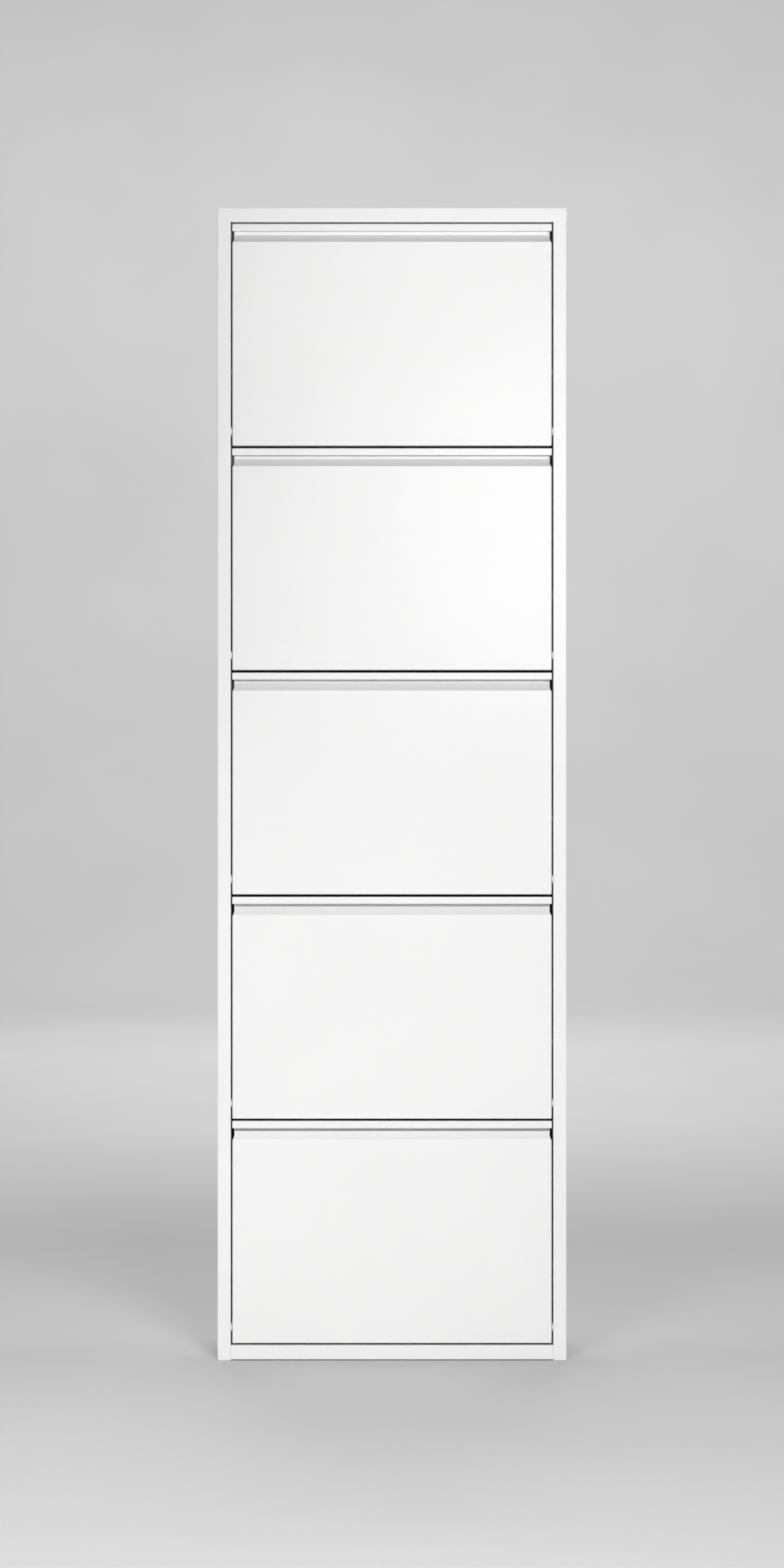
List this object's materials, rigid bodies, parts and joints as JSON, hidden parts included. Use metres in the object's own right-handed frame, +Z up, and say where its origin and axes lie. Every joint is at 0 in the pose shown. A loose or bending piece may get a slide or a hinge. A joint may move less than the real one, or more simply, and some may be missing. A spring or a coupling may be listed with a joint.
{
  "type": "shoe cabinet",
  "caption": "Tall, narrow sheet-steel shoe cabinet with tilt-out flaps, each with a full-width finger groove and a shoe pan behind.",
  "frame": {"origin": "on the floor, under the middle of the cabinet's width and depth", "axes": "+X to the right as seen from the front, -Y out of the front, +Z up"},
  "size_m": [0.51, 0.15, 1.68],
  "materials": {
    "white_steel": "satin white powder coat on folded sheet steel",
    "zinc_steel": "bright zinc plate",
    "glide_plastic": "moulded polyethylene, light grey",
    "rivet_steel": "plain steel blind rivets",
    "nylon": "natural nylon",
    "pin_steel": "turned steel, zinc plated",
    "bar_steel": "bright steel bar"
  },
  "bodies": {
    "cabinet": {"side_panel_left": "white_steel", "side_panel_right": "white_steel", "top_cap": "white_steel", "bottom_tray": "white_steel", "back_panel": "white_steel", "wall_rail": "zinc_steel", "floor_glides": "glide_plastic", "back_rivets": "rivet_steel", "pivot_bushes_1": "nylon", "stop_pins_1": "pin_steel", "stop_sleeves_1": "nylon", "pivot_bushes_2": "nylon", "stop_pins_2": "pin_steel", "stop_sleeves_2": "nylon", "pivot_bushes_3": "nylon", "stop_pins_3": "pin_steel", "stop_sleeves_3": "nylon", "pivot_bushes_4": "nylon", "stop_pins_4": "pin_steel", "stop_sleeves_4": "nylon", "pivot_bushes_5": "nylon", "stop_pins_5": "pin_steel", "stop_sleeves_5": "nylon"},
    "flap_1": {"flap_1_front": "white_steel", "flap_1_cheek_left": "white_steel", "flap_1_cheek_right": "white_steel", "flap_1_pan": "white_steel", "flap_1_rest_bars": "bar_steel", "flap_1_pivot_pins": "pin_steel"},
    "flap_2": {"flap_2_front": "white_steel", "flap_2_cheek_left": "white_steel", "flap_2_cheek_right": "white_steel", "flap_2_pan": "white_steel", "flap_2_rest_bars": "bar_steel", "flap_2_pivot_pins": "pin_steel"},
    "flap_3": {"flap_3_front": "white_steel", "flap_3_cheek_left": "white_steel", "flap_3_cheek_right": "white_steel", "flap_3_pan": "white_steel", "flap_3_rest_bars": "bar_steel", "flap_3_pivot_pins": "pin_steel"},
    "flap_4": {"flap_4_front": "white_steel", "flap_4_cheek_left": "white_steel", "flap_4_cheek_right": "white_steel", "flap_4_pan": "white_steel", "flap_4_rest_bars": "bar_steel", "flap_4_pivot_pins": "pin_steel"},
    "flap_5": {"flap_5_front": "white_steel", "flap_5_cheek_left": "white_steel", "flap_5_cheek_right": "white_steel", "flap_5_pan": "white_steel", "flap_5_rest_bars": "bar_steel", "flap_5_pivot_pins": "pin_steel"}
  },
  "joints": [
    {"name": "flap_1_tilt", "type": "hinge", "parent": "cabinet", "child": "flap_1", "pos_m": [0, -0.0642, 1.355], "axis": [1, 0, 0], "range_deg": [0, 35]},
    {"name": "flap_2_tilt", "type": "hinge", "parent": "cabinet", "child": "flap_2", "pos_m": [0, -0.0642, 1.028], "axis": [1, 0, 0], "range_deg": [0, 35]},
    {"name": "flap_3_tilt", "type": "hinge", "parent": "cabinet", "child": "flap_3", "pos_m": [0, -0.0642, 0.701], "axis": [1, 0, 0], "range_deg": [0, 35]},
    {"name": "flap_4_tilt", "type": "hinge", "parent": "cabinet", "child": "flap_4", "pos_m": [0, -0.0642, 0.374], "axis": [1, 0, 0], "range_deg": [0, 35]},
    {"name": "flap_5_tilt", "type": "hinge", "parent": "cabinet", "child": "flap_5", "pos_m": [0, -0.0642, 0.047], "axis": [1, 0, 0], "range_deg": [0, 35]}
  ]
}
